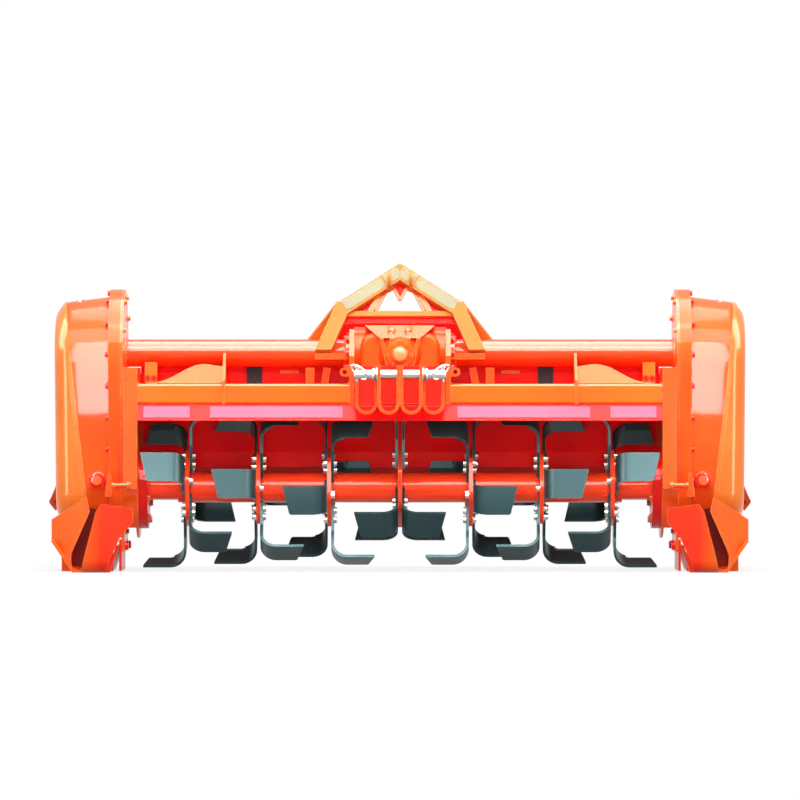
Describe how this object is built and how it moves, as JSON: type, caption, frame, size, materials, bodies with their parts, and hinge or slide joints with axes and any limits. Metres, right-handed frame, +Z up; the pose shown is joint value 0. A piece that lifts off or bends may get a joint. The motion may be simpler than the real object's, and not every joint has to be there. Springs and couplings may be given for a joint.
{
  "type": "rotavator",
  "caption": "Tractor-mounted rotary tiller: hooded blade rotor between side drive casings, with a linkage mast, skids and a hinged trailing board.",
  "frame": {"origin": "centre of the whole machine's box, on the ground under the skids", "axes": "+X to the machine's left along the rotor, -Y forward towards the tractor, +Z up"},
  "size_m": [2.148, 0.7612, 0.918],
  "materials": {
    "orange_paint": "thick glossy orange-red enamel",
    "red_paint": "glossy red enamel",
    "blade_gang": "dark blue-green painted spring steel",
    "bright_steel": "bright zinc-plated steel",
    "dark_steel": "dark grey painted steel"
  },
  "bodies": {
    "root": {"bearing_hub_left": "red_paint", "bearing_hub_right": "red_paint", "casing_cover_left": "orange_paint", "casing_cover_right": "orange_paint", "drive_casing_left": "orange_paint", "drive_casing_right": "orange_paint", "gearbox": "orange_paint", "headstock_plate_left": "orange_paint", "headstock_plate_right": "orange_paint", "hinge_rod": "dark_steel", "hitch_plate": "red_paint", "hood": "red_paint", "link_bracket_left": "orange_paint", "link_bracket_right": "orange_paint", "link_pin_left": "bright_steel", "link_pin_right": "bright_steel", "mast": "orange_paint", "mast_panel": "red_paint", "rear_beam": "red_paint", "rod_guide_left": "dark_steel", "rod_guide_right": "dark_steel", "side_plate_left": "orange_paint", "side_plate_right": "orange_paint", "skid_left": "orange_paint", "skid_right": "orange_paint", "square_tube_left": "orange_paint", "square_tube_right": "orange_paint", "top_tube_left": "orange_paint", "top_tube_right": "orange_paint", "tube_gusset_left": "orange_paint", "tube_gusset_right": "orange_paint"},
    "rotor": {"rotor_tube": "red_paint", "blade_gang_1": "blade_gang", "blade_gang_2": "blade_gang", "blade_gang_3": "blade_gang", "blade_gang_4": "blade_gang", "blade_gang_5": "blade_gang", "blade_gang_6": "blade_gang", "blade_gang_7": "blade_gang"},
    "input_shaft": {"input_shaft": "bright_steel"},
    "trailing_board": {"trailing_board": "red_paint"},
    "stay_rod_left": {"stay_rod_left": "dark_steel", "stay_spring_left": "dark_steel"},
    "stay_rod_right": {"stay_rod_right": "dark_steel", "stay_spring_right": "dark_steel"}
  },
  "joints": [
    {"name": "rotor_spin", "type": "hinge", "parent": "root", "child": "rotor", "pos_m": [0, -0.05064, 0.248], "axis": [1, 0, 0], "continuous": true},
    {"name": "input_spin", "type": "hinge", "parent": "root", "child": "input_shaft", "pos_m": [0, -0.22564, 0.645], "axis": [0, -1, 0], "continuous": true},
    {"name": "board_hinge", "type": "hinge", "parent": "root", "child": "trailing_board", "pos_m": [0, 0.23936, 0.33], "axis": [1, 0, 0], "range_deg": [0, 35]},
    {"name": "rod_pivot_left", "type": "hinge", "parent": "trailing_board", "child": "stay_rod_left", "pos_m": [0.436, 0.34913, 0.3023], "axis": [1, 0, 0], "range_deg": [-29.1, 0]},
    {"name": "rod_pivot_right", "type": "hinge", "parent": "trailing_board", "child": "stay_rod_right", "pos_m": [-0.436, 0.34913, 0.3023], "axis": [1, 0, 0], "range_deg": [-29.1, 0]}
  ],
  "couplings": [
    {"joint": "input_spin", "follows": "rotor_spin", "ratio": 2.6},
    {"joint": "rod_pivot_left", "follows": "board_hinge", "ratio": -0.8268},
    {"joint": "rod_pivot_right", "follows": "board_hinge", "ratio": -0.8268}
  ]
}
